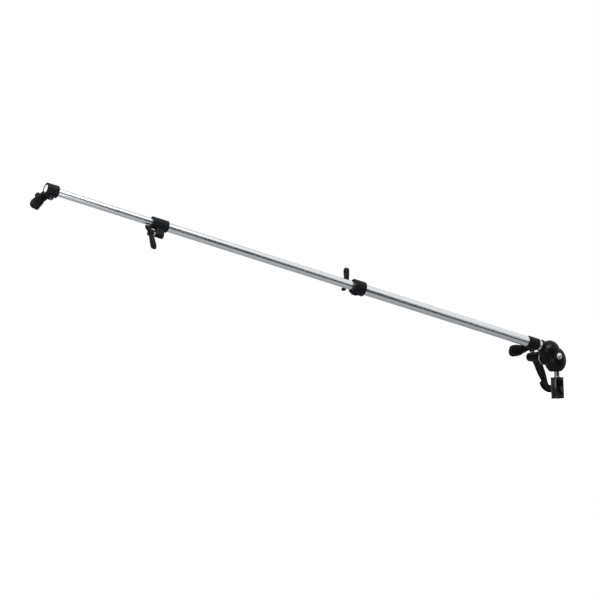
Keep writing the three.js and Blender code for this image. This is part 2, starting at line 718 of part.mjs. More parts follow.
// A rim clip: a collar on the tube, a stud towards the rim, two paddle jaws and a wing knob
function rimClip(group, side, start, tubeRadius, jawTurn, knobTurn) {
  const turn = new THREE.Matrix4().makeRotationX(degrees(rimTurn));
  const holder = placedGroup(chain(shift(start, 0, 0), turn));
  group.add(holder);
  const middle = clipCollarLength / 2;
  const studPlace = chain(shift(middle, 0, 0), toY);
  const earDrop = -(clipEarHeight + tubeRadius) / 2;
  const earSize = [clipEarLength, clipEarWidth, clipEarHeight - tubeRadius];
  const earPlace = chain(shift(middle, 0, 0), new THREE.Matrix4().makeRotationX(Math.PI));
  const collar = cut(
    join(
      turned([
        [0, 0],
        [clipCollarRadius - collarLipDepth, 0],
        [clipCollarRadius, collarLipDepth],
        [clipCollarRadius, clipCollarLength - collarLipDepth],
        [clipCollarRadius - collarLipDepth, clipCollarLength],
        [0, clipCollarLength],
      ], toX),
      rod(clipBossRadius, -clipBossEnd, 0, studPlace, roundSides),
      block(earSize, [middle, 0, earDrop]),
    ),
    slopeCut(clipCollarRadius, 1),
    rod(tubeRadius + slideGap, -overrun, clipCollarLength + overrun, toX, roundSides),
    rod(studBoltRadius + holeGap, -clipBossEnd - overrun, studBoltDepth - clipBossEnd, studPlace),
    rod(grubRadius + holeGap, 0, clipEarHeight + overrun, earPlace),
  );
  holder.add(meshFrom(`${side}_clip_collar`, collar, 'nylonBlack'));
  const grubEnd = clipEarHeight - seatGap;
  const grub = grubScrew(tubeRadius + slideGap + holeGap, grubEnd, earPlace);
  holder.add(meshFrom(`${side}_clip_grub_screw`, grub, 'steelBright'));

  const studStart = studBoltDepth - holeGap - clipBossEnd;
  const stud = rod(studBoltRadius, knobEnd - studBoltTail, studStart, studPlace);
  holder.add(meshFrom(`${side}_clip_stud`, stud, 'steelBright'));

  // Jaws, pads and knob share a frame on the stud: X along the paddles, Y to the front
  const jaws = placedGroup(chain(shift(middle, 0, 0), new THREE.Matrix4().makeRotationY(degrees(jawTurn))));
  holder.add(jaws);
  const flat = new THREE.Matrix4().makeRotationX(-Math.PI / 2);
  const studHole = (from, to) => rod(studBoltRadius + holeGap, from, to, toY);
  const frontPaddle = lobeShape(jawReach, jawWidth, jawNeckShare);
  const backPaddle = lobeShape(backJawReach, backJawWidth, jawNeckShare);
  const front = cut(
    join(
      rod(jawHubRadius, jawInner, -clipBossEnd - seatGap, toY, roundSides),
      plate(frontPaddle, jawInner, jawFront, flat, jawEdge),
    ),
    studHole(jawInner - overrun, -clipBossEnd + overrun),
  );
  jaws.add(meshFrom(`${side}_front_jaw`, front, 'nylonBlack'));
  const back = cut(
    join(
      rod(jawHubRadius, backJawEnd, backJawFace, toY, roundSides),
      plate(backPaddle, backJawEnd, backJawFace, flat, jawEdge),
    ),
    studHole(backJawEnd - overrun, backJawFace + overrun),
  );
  jaws.add(meshFrom(`${side}_back_jaw`, back, 'nylonBlack'));

  const padRoom = rod(jawHubRadius + padMargin, 2 * backPadFace, 0, toY, roundSides);
  const pad = (reach, width, from) => {
    const shape = lobeShape(reach - padMargin, width - 2 * padMargin, jawNeckShare);
    return cut(plate(shape, from, from + padThickness, flat), padRoom);
  };
  jaws.add(meshFrom(`${side}_front_pad`, pad(jawReach, jawWidth, frontPadFace), 'rubberBlack'));
  const backPadBase = backPadFace - padThickness;
  jaws.add(meshFrom(`${side}_back_pad`, pad(backJawReach, backJawWidth, backPadBase), 'rubberBlack'));

  const lobeFrom = knobEnd + (knobHubLength - knobLobeThickness) / 4;
  const lobeTo = lobeFrom + knobLobeThickness;
  const insertEnd = knobStart - knobInsertLength;
  const wings = chain(flat, turnZ(knobTurn));
  const knob = cut(
    join(
      rod(knobHubRadius, knobEnd, knobStart, toY, roundSides),
      ...[0, 180].map((angle) => plate(
        lobeShape(knobLobe, knobLobeWidth, lobeNeckShare),
        lobeFrom,
        lobeTo,
        chain(wings, turnZ(angle)),
        collarLipDepth,
      )),
    ),
    rod(knobInsertRadius + holeGap, insertEnd - holeGap, knobStart + overrun, toY),
    studHole(knobEnd - overrun, knobStart),
  );
  jaws.add(meshFrom(`${side}_wing_knob`, knob, 'nylonBlack'));
  const insert = sleeve(studBoltRadius + holeGap, knobInsertRadius, insertEnd, knobStart, toY, smallSides);
  jaws.add(meshFrom(`${side}_knob_insert`, insert, 'brass'));
}

// The whole arm
const holderArm = new THREE.Group();
studSocket(holderArm);
ballHead(holderArm);
clamp(holderArm);

const arm = placedGroup(armPlace);
holderArm.add(arm);
arm.add(armTube('outer_tube', outerRadius, outerStart, outerLength));
arm.add(armTube('middle_tube', middleRadius, middleStart, middleLength));
arm.add(armTube('inner_tube', innerRadius, innerStart, innerLength));
arm.add(glide('middle_glide', middleRadius, outerRadius, middleStart));
arm.add(glide('inner_glide', innerRadius, middleRadius, innerStart));
arm.add(endPlug('arm_end_plug', innerRadius, innerEnd));

camCollar(
  arm,
  {
    collar: 'outer_cam_collar',
    shoe: 'outer_brake_shoe',
    shaft: 'outer_cam_shaft',
    lever: 'outer_cam_lever',
  },
  {
    start: outerEnd - outerCollarSeat,
    radius: outerCollarRadius,
    seat: outerCollarSeat,
    grip: outerCollarGrip,
    bigRadius: outerRadius,
    smallRadius: middleRadius,
    turn: outerCollarTurn,
    leverTurn: outerLeverTurn,
    shortLobe: outerLeverShortLobe,
    longLean: outerLongLean,
    shortLean: outerShortLean,
    bossInset: outerBossInset,
    wingInset: outerWingInset,
    heelLug: true,
    slopedEnd: false,
  },
);
camCollar(
  arm,
  {
    collar: 'middle_cam_collar',
    shoe: 'middle_brake_shoe',
    shaft: 'middle_cam_shaft',
    lever: 'middle_cam_lever',
  },
  {
    start: middleEnd - middleCollarSeat,
    radius: middleCollarRadius,
    seat: middleCollarSeat,
    grip: middleCollarGrip,
    bigRadius: middleRadius,
    smallRadius: innerRadius,
    turn: middleCollarTurn,
    leverTurn: middleLeverTurn,
    shortLobe: middleLeverShortLobe,
    longLean: middleLongLean,
    shortLean: middleShortLean,
    bossInset: middleBossInset,
    wingInset: middleWingInset,
    heelLug: false,
    slopedEnd: true,
  },
);
rimClip(arm, 'right', rightClipStart, outerRadius, rightJawTurn, rightKnobTurn);
rimClip(arm, 'left', leftClipStart, innerRadius, leftJawTurn, leftKnobTurn);

export default holderArm;
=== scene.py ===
import json
import math

import bmesh
import bpy
import numpy as np
from mathutils import Matrix


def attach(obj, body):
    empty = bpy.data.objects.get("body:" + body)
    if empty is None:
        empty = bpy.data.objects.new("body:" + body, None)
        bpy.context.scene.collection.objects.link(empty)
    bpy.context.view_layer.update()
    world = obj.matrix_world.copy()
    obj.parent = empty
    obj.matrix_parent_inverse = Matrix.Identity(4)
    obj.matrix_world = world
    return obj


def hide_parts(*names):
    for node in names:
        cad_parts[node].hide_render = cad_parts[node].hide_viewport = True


bl_info = {
    "name": "Reflector holder arm",
    "version": (1, 0, 0),
    "blender": (4, 5, 0),
    "location": "View3D > Sidebar > Reflector arm",
    "description": "Finishes the telescopic holder arm, its ball head, cam locks and rim clips",
    "category": "Object",
}

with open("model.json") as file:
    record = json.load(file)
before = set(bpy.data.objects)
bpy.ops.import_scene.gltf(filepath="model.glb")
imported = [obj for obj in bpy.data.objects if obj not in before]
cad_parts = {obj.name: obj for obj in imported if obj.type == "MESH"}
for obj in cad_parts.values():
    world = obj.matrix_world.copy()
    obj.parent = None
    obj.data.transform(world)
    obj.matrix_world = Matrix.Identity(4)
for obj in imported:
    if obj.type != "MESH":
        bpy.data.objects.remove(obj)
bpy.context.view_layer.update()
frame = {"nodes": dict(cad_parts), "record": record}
BODIES = frame["record"]["behaviour"]["bodies"]
BODY_OF = {node: body for body, nodes in BODIES.items() for node in nodes}

# Lengths below are in millimetres, in the frame of the CAD part
MM = 0.001
ARM_RISE = math.radians(17.67)
ARM_ORIGIN = np.array([0.0, 0.0, 103.0])
ARM_AXIS = np.array([-math.cos(ARM_RISE), 0.0, math.sin(ARM_RISE)])
ARM_UP = np.array([math.sin(ARM_RISE), 0.0, math.cos(ARM_RISE)])
BOLT_TURN = math.radians(20)
BOLT_ACROSS = np.array([math.cos(BOLT_TURN), math.sin(BOLT_TURN), 0.0])
BOLT_AXIS = np.array([math.sin(BOLT_TURN), -math.cos(BOLT_TURN), 0.0])
BOLT_HEIGHT = 90.9
BOLT_OFFSET = 14.5
BOLT_ORIGIN = np.array([0.0, 0.0, BOLT_HEIGHT]) - BOLT_OFFSET * BOLT_ACROSS
BALL_HEIGHT = 81.3
BALL_RADIUS = 10.0
# How far the clips' studs are turned round the arm, in degrees
RIM_TURN = 19.2

# Each tube's radius and where it starts and ends along the arm
TUBES = {
    "outer": (11.0, 16.0, 495.0),
    "middle": (9.5, 450.0, 972.5),
    "inner": (8.0, 740.0, 1239.5),
}

# Where each clip and each cam lock sits on the arm, and how it is turned
CLIPS = {
    "right": {"start": 47.0, "tube": 11.0, "jaw_turn": 26},
    "left": {"start": 1214.8, "tube": 8.0, "jaw_turn": 53},
}
LOCKS = {
    "outer": {"start": 484.5, "length": 28.0, "radius": 15.6, "turn": 75.2, "lever": 19.2},
    "middle": {"start": 958.5, "length": 38.0, "radius": 12.6, "turn": 199.2, "lever": 199.2},
}
# Along each lock: from its end to the cam's boss and to the wing lever, from its start to the shoe,
# and the wing lever's short lobe
LOCKS["outer"].update(boss=7.0, wing=1.0, shoe=15.8, short=20.0)
LOCKS["middle"].update(boss=12.0, wing=5.0, shoe=19.3, short=13.5)
CAM_OFFSET = 23.6
CLIP_MIDDLE = 13.5

# The photograph's frame and the camera fitted to it
PHOTO_SIZE = 596
PHOTO_MM_PER_PIXEL = 2.146
CAMERA_AZIMUTH = math.radians(-27.3)
CAMERA_ROLL = math.radians(2.28)
CAMERA_DISTANCE = 10.0
CAMERA_TARGET = (-0.4874, 0.2517, 0.2376)


def linear(colour):
    """sRGB hex to linear light: a channel c becomes ((c + 0.055) / 1.055) ** 2.4, or c / 12.92."""
    channels = [(colour >> shift & 255) / 255 for shift in (16, 8, 0)]
    return tuple(c / 12.92 if c <= 0.04045 else ((c + 0.055) / 1.055) ** 2.4 for c in channels)


# Sizes and colours that a user would change

class ArmSizes(bpy.types.PropertyGroup):
    turn_steps: bpy.props.IntProperty(
        name="Steps round",
        description="Faces round each turned piece",
        default=96,
        min=24,
    )
    moulding_grain: bpy.props.FloatProperty(
        name="Moulding mesh",
        description="Face size of the cast and moulded pieces",
        default=0.00055,
        unit="LENGTH",
    )
    fine_grain: bpy.props.FloatProperty(
        name="Small part mesh",
        description="Face size of the locks and clips",
        default=0.0004,
        unit="LENGTH",
    )
    tube_wall: bpy.props.FloatProperty(
        name="Tube wall",
        description="Wall of the three drawn tubes",
        default=0.0012,
        unit="LENGTH",
    )
    paint_grain: bpy.props.FloatProperty(
        name="Paint grain",
        description="Size of the grains in the head's powder paint",
        default=0.0009,
        unit="LENGTH",
    )
    draw_line: bpy.props.FloatProperty(
        name="Drawing lines",
        description="Spacing of the fine lines that drawing leaves along a tube",
        default=0.0006,
        unit="LENGTH",
    )
    camera_distance: bpy.props.FloatProperty(
        name="Camera distance",
        description="From the arm to the camera",
        default=CAMERA_DISTANCE,
        unit="LENGTH",
    )


class ArmColours(bpy.types.PropertyGroup):
    cast_paint: bpy.props.FloatVectorProperty(
        name="Head paint",
        description="Powder paint on the head and its lever",
        subtype="COLOR",
        size=3,
        min=0,
        max=1,
        default=linear(0x08090B),
    )
    nylon: bpy.props.FloatVectorProperty(
        name="Nylon",
        description="Moulded collars, jaws, knobs and cam levers",
        subtype="COLOR",
        size=3,
        min=0,
        max=1,
        default=linear(0x0B0C0E),
    )
    socket_plating: bpy.props.FloatVectorProperty(
        name="Socket plating",
        description="Glossy black plating on the socket",
        subtype="COLOR",
        size=3,
        min=0,
        max=1,
        default=linear(0x07080A),
    )
    aluminium: bpy.props.FloatVectorProperty(
        name="Aluminium",
        description="Anodised tubes",
        subtype="COLOR",
        size=3,
        min=0,
        max=1,
        default=linear(0xDDE0E3),
    )
    floor: bpy.props.FloatVectorProperty(
        name="Floor",
        description="Studio floor",
        subtype="COLOR",
        size=3,
        min=0,
        max=1,
        default=linear(0xF4F4F4),
    )


# Making meshes

def placed(origin, direction, across=None):
    """A 4 by 4 matrix in mm whose Z runs along direction, with X as near to across as it can be."""
    z = np.asarray(direction, float) / np.linalg.norm(direction)
    if across is None:
        across = np.eye(3)[np.argmin(np.abs(z))]
    x = across - np.dot(across, z) * z
    x /= np.linalg.norm(x)
    place = np.eye(4)
    place[:3, 0], place[:3, 1], place[:3, 2], place[:3, 3] = x, np.cross(z, x), z, origin
    return place


def along_arm(distance):
    """The point on the tubes' axis at this distance from the socket's axis."""
    return ARM_ORIGIN + distance * ARM_AXIS


def round_arm(degrees):
    """The direction square to the arm that is this far round it from the top towards the back."""
    angle = math.radians(degrees)
    return math.cos(angle) * ARM_UP + math.sin(angle) * np.array([0.0, 1.0, 0.0])


def stud_place(side):
    """A clip's stud: Z runs from the arm's axis out to the jaws, X along the paddles."""
    clip = CLIPS[side]
    turn = math.radians(clip["jaw_turn"])
    paddles = math.cos(turn) * ARM_AXIS - math.sin(turn) * round_arm(RIM_TURN)
    return placed(along_arm(clip["start"] + CLIP_MIDDLE), round_arm(RIM_TURN + 90), paddles)


def cam_place(name, lever=False):
    """A lock's cam: Z runs along its axis, away from the head, and X outwards from the tube, or
    along the lever's long lobe."""
    lock = LOCKS[name]
    origin = along_arm(lock["start"]) + CAM_OFFSET * round_arm(lock["turn"])
    return placed(origin, ARM_AXIS, round_arm(lock["lever" if lever else "turn"]))


def beside(place, x):
    """The same place, moved by x along its X."""
    moved = place.copy()
    moved[:3, 3] += x * place[:3, 0]
    return moved


def turned_round(place):
    """The same place, turned half round its Z."""
    turned = place.copy()
    turned[:3, :2] *= -1
    return turned


def tidy(mesh):
    """Merges doubled points, drops faces with no area and turns every face outwards."""
    work = bmesh.new()
    work.from_mesh(mesh)
    bmesh.ops.remove_doubles(work, verts=work.verts, dist=1e-6)
    bmesh.ops.dissolve_degenerate(work, edges=work.edges, dist=1e-7)
    bmesh.ops.recalc_face_normals(work, faces=work.faces)
    work.to_mesh(mesh)
    work.free()


def surface(name, points, angle=30):
    """A closed skin over a grid of points, rows by columns in mm, that wraps round both ways."""
    rows, columns = points.shape[:2]
    row = np.arange(rows)[:, None]
    column = np.arange(columns)[None, :]
    next_row = (row + 1) % rows
    next_column = (column + 1) % columns
    faces = np.stack(
        [
            row * columns + column,
            row * columns + next_column,
            next_row * columns + next_column,
            next_row * columns + column,
        ],
        axis=-1,
    )
    mesh = bpy.data.meshes.new(name)
    mesh.from_pydata(points.reshape(-1, 3) * MM, [], faces.reshape(-1, 4).tolist())
    tidy(mesh)
    mesh.shade_smooth()
    mesh.set_sharp_from_angle(angle=math.radians(angle))
    piece = bpy.data.objects.new(name, mesh)
    bpy.context.scene.collection.objects.link(piece)
    return piece


def softened(profile, radius, steps=4):
    """Rounds each corner of a closed profile of (r, z) points: a corner C becomes the quadratic curve
    (1-t)^2 A + 2t(1-t) C + t^2 B between points A and B, radius away along its two edges."""
    corners = np.asarray(profile, float)
    before = np.roll(corners, 1, axis=0) - corners
    after = np.roll(corners, -1, axis=0) - corners
    back = np.linalg.norm(before, axis=1, keepdims=True)
    forth = np.linalg.norm(after, axis=1, keepdims=True)
    reach = np.minimum(radius, 0.45 * np.minimum(back, forth))
    reach = np.where(corners[:, :1] < 1e-6, 0, reach)
    start = (corners + before / back * reach)[:, None]
    end = (corners + after / forth * reach)[:, None]
    t = np.linspace(0, 1, steps + 1)[None, :, None]
    middle = corners[:, None]
    return ((1 - t) ** 2 * start + 2 * t * (1 - t) * middle + t**2 * end).reshape(-1, 2)


def lathed(name, profile, place, radius=0.3, ripple=None):
    """Turns a closed profile of (r, z) points about the place's Z: (r cos v, r sin v, z) for v all round.
    ripple(r, z, v), if given, changes r."""
    steps = bpy.context.scene.arm_sizes.turn_steps
    outline = softened(profile, radius)
    v = np.linspace(0, 2 * np.pi, steps, endpoint=False)[None, :]
    r = outline[:, :1] * np.ones_like(v)
    z = outline[:, 1:] * np.ones_like(v)
    if ripple is not None:
        r = ripple(r, z, v)
    local = np.stack([r * np.cos(v), r * np.sin(v), z, np.ones_like(r)], axis=-1)
    return surface(name, (local @ place.T)[..., :3])


def moulded(node, relief=None, passes=10, grain=None):
    """A fine copy of a CAD node, as it comes from a mould: the node's skin is remeshed in small even
    faces and smoothed, so that its corners are rounded by about a millimetre. relief(points, normals),
    if given, is how far in mm each point then moves out along its normal."""
    source = frame["nodes"][node]
    mesh = source.data.copy()
    work = bmesh.new()
    work.from_mesh(mesh)
    bmesh.ops.remove_doubles(work, verts=work.verts, dist=1e-5)
    work.to_mesh(mesh)
    work.free()
    piece = bpy.data.objects.new("fine_" + node, mesh)
    bpy.context.scene.collection.objects.link(piece)
    remesh = piece.modifiers.new("even faces", "REMESH")
    remesh.mode = "VOXEL"
    remesh.voxel_size = grain or bpy.context.scene.arm_sizes.moulding_grain
    smooth = piece.modifiers.new("rounded corners", "SMOOTH")
    smooth.factor = 0.5
    smooth.iterations = passes
    evaluated = piece.evaluated_get(bpy.context.evaluated_depsgraph_get())
    fine = bpy.data.meshes.new_from_object(evaluated)
    piece.modifiers.clear()
    piece.data = fine
    if relief is not None:
        points = np.empty(3 * len(fine.vertices))
        normals = np.empty(3 * len(fine.vertices))
        fine.vertices.foreach_get("co", points)
        fine.vertices.foreach_get("normal", normals)
        points = points.reshape(-1, 3)
        normals = normals.reshape(-1, 3)
        moved = points + normals * relief(points / MM, normals)[:, None] * MM
        fine.vertices.foreach_set("co", moved.ravel())
        fine.update()
    fine.shade_smooth()
    return piece


def stands_for(piece, node, material):
    """Hands a piece its node's body and its finish, and hides the node."""
    piece.data.materials.clear()
    piece.data.materials.append(material)
    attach(piece, BODY_OF[node])
    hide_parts(node)


def refinish(node, material):
    """Puts a finish on a CAD node that keeps its own mesh."""
    for slot in frame["nodes"][node].material_slots:
        slot.material = material


# Finishes

def add(tree, kind, links=(), **settings):
    """Adds one shader node, sets its sockets and properties, and links other sockets to it."""
    made = tree.nodes.new(kind)
    for key, value in settings.items():
        name = key.replace("_", " ").title()
        if name in made.inputs:
            made.inputs[name].default_value = value
        else:
            setattr(made, key, value)
    for socket, target in links:
        tree.links.new(socket, made.inputs[target])
    return made


def finish(name):
    """An empty material, its node tree and its Principled shader; an existing one is reused as it is."""
    known = bpy.data.materials.get(name)
    if known:
        return known, None, None
    made = bpy.data.materials.new(name)
    made.use_nodes = True
    return made, made.node_tree, made.node_tree.nodes["Principled BSDF"]


def powder_paint():
    """Powder-coated die casting. The baked powder leaves a fine orange peel, and handling polishes
    it unevenly, so that broad highlights break up."""
    made, tree, shader = finish("powder coated die casting")
    if tree is None:
        return made
    scene = bpy.context.scene
    colour = tuple(scene.arm_colours.cast_paint)
    where = add(tree, "ShaderNodeTexCoord").outputs["Object"]
    grain = 1 / scene.arm_sizes.paint_grain
    peel = add(tree, "ShaderNodeTexNoise", [(where, "Vector")], scale=grain, detail=3.0)
    handling = add(tree, "ShaderNodeTexNoise", [(where, "Vector")], scale=1 / 0.014, detail=4.0)
    gloss = add(tree, "ShaderNodeMapRange", [(handling.outputs["Fac"], "Value")])
    gloss.inputs["From Min"].default_value = 0.3
    gloss.inputs["From Max"].default_value = 0.7
    gloss.inputs["To Min"].default_value = 0.24
    gloss.inputs["To Max"].default_value = 0.36
    tone = add(tree, "ShaderNodeValToRGB", [(handling.outputs["Fac"], "Fac")])
    tone.color_ramp.elements[0].position = 0.35
    tone.color_ramp.elements[1].position = 0.7
    tone.color_ramp.elements[0].color = (*[0.75 * c for c in colour], 1)
    tone.color_ramp.elements[1].color = (*[1.35 * c for c in colour], 1)
    bump = add(tree, "ShaderNodeBump", [(peel.outputs["Fac"], "Height")], strength=0.35, distance=0.0001)
    tree.links.new(tone.outputs["Color"], shader.inputs["Base Color"])
    tree.links.new(gloss.outputs["Result"], shader.inputs["Roughness"])
    tree.links.new(bump.outputs["Normal"], shader.inputs["Normal"])
    shader.inputs["Specular IOR Level"].default_value = 0.12
    return made


def moulded_nylon():
    """Glass-filled nylon from a spark-eroded mould. It is a shade greyer than paint, evenly matt,
    with faint flow marks and short glass fibres near the skin."""
    made, tree, shader = finish("moulded glass filled nylon")
    if tree is None:
        return made
    colour = tuple(bpy.context.scene.arm_colours.nylon)
    where = add(tree, "ShaderNodeTexCoord").outputs["Object"]
    spark = add(tree, "ShaderNodeTexNoise", [(where, "Vector")], scale=1 / 0.0007, detail=2.0)
    flow = add(tree, "ShaderNodeTexNoise", [(where, "Vector")], scale=1 / 0.009, detail=3.0, distortion=1.5)
    tone = add(tree, "ShaderNodeValToRGB", [(flow.outputs["Fac"], "Fac")])
    tone.color_ramp.elements[0].position = 0.3
    tone.color_ramp.elements[1].position = 0.75
    tone.color_ramp.elements[0].color = (*[0.8 * c for c in colour], 1)
    tone.color_ramp.elements[1].color = (*[1.45 * c for c in colour], 1)
    gloss = add(tree, "ShaderNodeMapRange", [(flow.outputs["Fac"], "Value")])
    gloss.inputs["To Min"].default_value = 0.38
    gloss.inputs["To Max"].default_value = 0.56
    bump = add(tree, "ShaderNodeBump", [(spark.outputs["Fac"], "Height")], strength=0.3, distance=0.00008)
    tree.links.new(tone.outputs["Color"], shader.inputs["Base Color"])
    tree.links.new(gloss.outputs["Result"], shader.inputs["Roughness"])
    tree.links.new(bump.outputs["Normal"], shader.inputs["Normal"])
    shader.inputs["Specular IOR Level"].default_value = 0.1
    return made


def black_plating():
    """Black nickel on turned steel, under clear lacquer: near-black and wet-looking, with the turning
    lines showing only in its highlights."""
    made, tree, shader = finish("black nickel plated steel")
    if tree is None:
        return made
    where = add(tree, "ShaderNodeTexCoord").outputs["Object"]
    # Turning lines run round the socket, so the noise is squeezed along its axis to 0.4 mm
    lines = add(tree, "ShaderNodeMapping", [(where, "Vector")])
    lines.inputs["Scale"].default_value = (60, 60, 2500)
    grain = add(tree, "ShaderNodeTexNoise", [(lines.outputs["Vector"], "Vector")], scale=1.0, detail=2.0)
    gloss = add(tree, "ShaderNodeMapRange", [(grain.outputs["Fac"], "Value")])
    gloss.inputs["To Min"].default_value = 0.05
    gloss.inputs["To Max"].default_value = 0.12
    tree.links.new(gloss.outputs["Result"], shader.inputs["Roughness"])
    shader.inputs["Base Color"].default_value = (*bpy.context.scene.arm_colours.socket_plating, 1)
    shader.inputs["Specular IOR Level"].default_value = 0.3
    shader.inputs["Coat Weight"].default_value = 0.1
    shader.inputs["Coat Roughness"].default_value = 0.05
    return made


def bright_nickel():
    """Bright nickel on steel: a clean mirror, softened by fine polishing marks."""
    made, tree, shader = finish("bright nickel plated steel")
    if tree is None:
        return made
    where = add(tree, "ShaderNodeTexCoord").outputs["Object"]
    marks = add(tree, "ShaderNodeTexNoise", [(where, "Vector")], scale=1 / 0.0025, detail=5.0)
    gloss = add(tree, "ShaderNodeMapRange", [(marks.outputs["Fac"], "Value")])
    gloss.inputs["To Min"].default_value = 0.1
    gloss.inputs["To Max"].default_value = 0.26
    tree.links.new(gloss.outputs["Result"], shader.inputs["Roughness"])
    shader.inputs["Base Color"].default_value = (*linear(0xD2D3D4), 1)
    shader.inputs["Metallic"].default_value = 1
    return made


def grey_steel():
    """Phosphated steel, oiled: a dull mid grey metal that the head above keeps dark."""
    made, tree, shader = finish("oiled grey steel")
    if tree is None:
        return made
    where = add(tree, "ShaderNodeTexCoord").outputs["Object"]
    film = add(tree, "ShaderNodeTexNoise", [(where, "Vector")], scale=1 / 0.003, detail=4.0)
    gloss = add(tree, "ShaderNodeMapRange", [(film.outputs["Fac"], "Value")])
    gloss.inputs["To Min"].default_value = 0.2
    gloss.inputs["To Max"].default_value = 0.36
    tree.links.new(gloss.outputs["Result"], shader.inputs["Roughness"])
    shader.inputs["Base Color"].default_value = (*linear(0x777A7F), 1)
    shader.inputs["Metallic"].default_value = 1
    return made


def anodised_tube():
    """Clear anodised drawn aluminium: satin, with fine lines left along the tube by the drawing die
    and slow patches where hands and the sliding collars have polished it."""
    made, tree, shader = finish("clear anodised drawn aluminium")
    if tree is None:
        return made
    scene = bpy.context.scene
    colour = tuple(scene.arm_colours.aluminium)
    where = add(tree, "ShaderNodeTexCoord").outputs["Object"]
    turned = add(tree, "ShaderNodeMapping", [(where, "Vector")])
    turned.inputs["Rotation"].default_value = (0, -ARM_RISE, 0)
    stretched = add(tree, "ShaderNodeMapping", [(turned.outputs["Vector"], "Vector")])
    fine = 1 / scene.arm_sizes.draw_line
    stretched.inputs["Scale"].default_value = (4, fine, fine)
    lines = add(tree, "ShaderNodeTexNoise", [(stretched.outputs["Vector"], "Vector")], scale=1.0, detail=3.0)
    patches = add(tree, "ShaderNodeTexNoise", [(where, "Vector")], scale=1 / 0.05, detail=3.0)
    mixed = add(
        tree,
        "ShaderNodeMath",
        [(lines.outputs["Fac"], 0), (patches.outputs["Fac"], 1)],
        operation="ADD",
    )
    gloss = add(tree, "ShaderNodeMapRange", [(mixed.outputs["Value"], "Value")])
    gloss.inputs["From Min"].default_value = 0.6
    gloss.inputs["From Max"].default_value = 1.4
    gloss.inputs["To Min"].default_value = 0.2
    gloss.inputs["To Max"].default_value = 0.34
    tone = add(tree, "ShaderNodeValToRGB", [(lines.outputs["Fac"], "Fac")])
    tone.color_ramp.elements[0].position = 0.3
    tone.color_ramp.elements[1].position = 0.7
    tone.color_ramp.elements[0].color = (*[0.9 * c for c in colour], 1)
    tone.color_ramp.elements[1].color = (*[min(1.0, 1.04 * c) for c in colour], 1)
    bump = add(tree, "ShaderNodeBump", [(lines.outputs["Fac"], "Height")], strength=0.04, distance=0.00004)
    tree.links.new(tone.outputs["Color"], shader.inputs["Base Color"])
    tree.links.new(gloss.outputs["Result"], shader.inputs["Roughness"])
    tree.links.new(bump.outputs["Normal"], shader.inputs["Normal"])
    shader.inputs["Metallic"].default_value = 1
    return made


def grip_rubber():
    """Black rubber pad: dead matt, with talc-like grey in its grain."""
    made, tree, shader = finish("matt black rubber")
    if tree is None:
        return made
    where = add(tree, "ShaderNodeTexCoord").outputs["Object"]
    grain = add(tree, "ShaderNodeTexNoise", [(where, "Vector")], scale=1 / 0.0008, detail=4.0)
    tone = add(tree, "ShaderNodeValToRGB", [(grain.outputs["Fac"], "Fac")])
    tone.color_ramp.elements[0].color = (*linear(0x101010), 1)
    tone.color_ramp.elements[1].color = (*linear(0x232323), 1)
    bump = add(tree, "ShaderNodeBump", [(grain.outputs["Fac"], "Height")], strength=0.5, distance=0.0001)
    tree.links.new(tone.outputs["Color"], shader.inputs["Base Color"])
    tree.links.new(bump.outputs["Normal"], shader.inputs["Normal"])
    shader.inputs["Roughness"].default_value = 0.85
    return made


def acetal():
    """Natural acetal: milky, waxy and slightly see-through at its edges."""
    made, tree, shader = finish("natural acetal")
    if tree is None:
        return made
    where = add(tree, "ShaderNodeTexCoord").outputs["Object"]
    cloud = add(tree, "ShaderNodeTexNoise", [(where, "Vector")], scale=1 / 0.006, detail=3.0)
    tone = add(tree, "ShaderNodeValToRGB", [(cloud.outputs["Fac"], "Fac")])
    tone.color_ramp.elements[0].color = (*linear(0xDAD8D0), 1)
    tone.color_ramp.elements[1].color = (*linear(0xF0EEE8), 1)
    tree.links.new(tone.outputs["Color"], shader.inputs["Base Color"])
    shader.inputs["Roughness"].default_value = 0.42
    shader.inputs["IOR"].default_value = 1.48
    return made


def turned_brass():
    """Free-cutting brass: yellow, with fine turning lines and slight tarnish."""
    made, tree, shader = finish("turned brass")
    if tree is None:
        return made
    where = add(tree, "ShaderNodeTexCoord").outputs["Object"]
    tarnish = add(tree, "ShaderNodeTexNoise", [(where, "Vector")], scale=1 / 0.003, detail=5.0)
    tone = add(tree, "ShaderNodeValToRGB", [(tarnish.outputs["Fac"], "Fac")])
    tone.color_ramp.elements[0].color = (*linear(0xB08A48), 1)
    tone.color_ramp.elements[1].color = (*linear(0xD9B770), 1)
    tree.links.new(tone.outputs["Color"], shader.inputs["Base Color"])
    shader.inputs["Metallic"].default_value = 1
    shader.inputs["Roughness"].default_value = 0.3
    return made


# Reliefs, in mm along the skin's normal, worked out for all points at once

def band(value, low, high, soft):
    """1 between low and high, 0 outside, with a smooth step of width soft at each end."""
    rise = np.clip((value - low) / soft + 0.5, 0, 1)
    fall = np.clip((high - value) / soft + 0.5, 0, 1)
    rise, fall = rise * rise * (3 - 2 * rise), fall * fall * (3 - 2 * fall)
    return rise * fall


def in_place(points, place):
    """Points of the CAD frame, as x, y, z of another place."""
    return ((points - place[:3, 3]) @ place[:3, :3]).T


def turned_gap(place, profile):
    """How far a turned shape's skin lies outside each point, and how well the point's normal agrees
    with it. profile gives (z, r) corners, or is a function from z to r."""
    if not callable(profile):
        heights, radii = np.transpose(profile)

        def outline(z):
            return np.interp(z, heights, radii, left=-99, right=-99)

    else:
        outline = profile

    def gap(points, normals):
        x, y, z = in_place(points, place)
        nx, ny, nz = (normals @ place[:3, :3]).T
        r = np.hypot(x, y) + 1e-9
        slope = (outline(z + 0.05) - outline(z - 0.05)) / 0.1
        steep = np.hypot(1, slope)
        return (outline(z) - r) / steep, ((nx * x + ny * y) / r - slope * nz) / steep

    return gap


